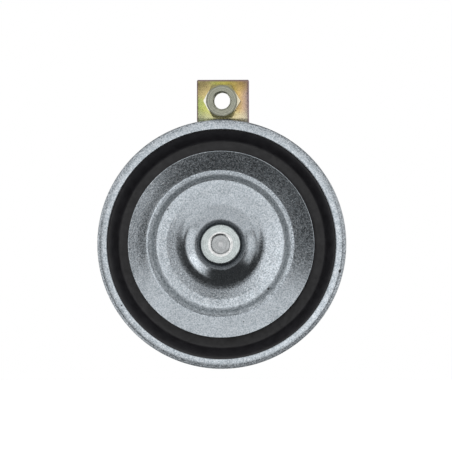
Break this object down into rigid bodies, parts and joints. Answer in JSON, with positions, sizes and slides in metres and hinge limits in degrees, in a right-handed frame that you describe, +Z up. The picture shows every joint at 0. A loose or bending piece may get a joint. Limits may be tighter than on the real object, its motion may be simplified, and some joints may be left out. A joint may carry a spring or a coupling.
{
  "type": "car horn",
  "caption": "Disc-type electric car horn: pressed tone disc on a vibrating armature, rolled front ring, stepped case and strap bracket with a threaded nut.",
  "frame": {"origin": "middle of the bracket nut's thread, on the thread's axis", "axes": "+X to the viewer's right, -Y the way the tone disc faces, +Y along the thread towards the rear of the bracket, +Z up from the horn's axis to the bracket"},
  "size_m": [0.1, 0.0529, 0.1163],
  "materials": {
    "galvanised": "mottled galvanised sheet, satin",
    "black_coat": "satin black coating",
    "yellow_zinc": "yellow passivated zinc with coloured bloom",
    "bright_zinc": "turned and bright zinc plated",
    "plain_steel": "machined steel",
    "copper_wire": "enamelled copper winding",
    "spring_bronze": "spring bronze strip",
    "contact_alloy": "sintered contact alloy",
    "phenolic": "moulded phenolic",
    "fibre": "pressed fibre sheet",
    "nylon": "moulded nylon",
    "gasket_rubber": "sheet rubber"
  },
  "bodies": {
    "housing": {"front_ring": "galvanised", "diaphragm": "black_coat", "diaphragm_gasket": "gasket_rubber", "spacer_ring": "plain_steel", "core": "plain_steel", "coil_bobbin": "nylon", "coil_winding": "copper_wire", "magnet_plate": "plain_steel", "plate_rivets": "bright_zinc", "case": "black_coat", "moving_contact_arm": "spring_bronze", "fixed_contact_arm": "bright_zinc", "moving_contact": "contact_alloy", "fixed_contact": "contact_alloy", "pusher_stud": "phenolic", "breaker_insulators": "fibre", "breaker_rivets": "bright_zinc", "screw_bush": "bright_zinc", "adjusting_screw": "bright_zinc", "terminal_block": "phenolic", "terminal_insulator": "fibre", "terminal_blades": "spring_bronze", "terminal_rivets": "bright_zinc", "bracket": "yellow_zinc", "bracket_nut": "bright_zinc", "stud_nut": "bright_zinc", "spring_washer": "bright_zinc"},
    "vibrator": {"tone_disc": "galvanised", "collar": "bright_zinc", "distance_sleeve": "plain_steel", "hub_washer": "plain_steel", "armature": "plain_steel"}
  },
  "joints": [
    {"name": "vibrator_stroke", "type": "slide", "parent": "housing", "child": "vibrator", "axis": [0, -1, 0], "range_m": [-0.0005, 0.0003], "stiffness_N_per_m": 20000, "deforming": ["diaphragm"]}
  ]
}
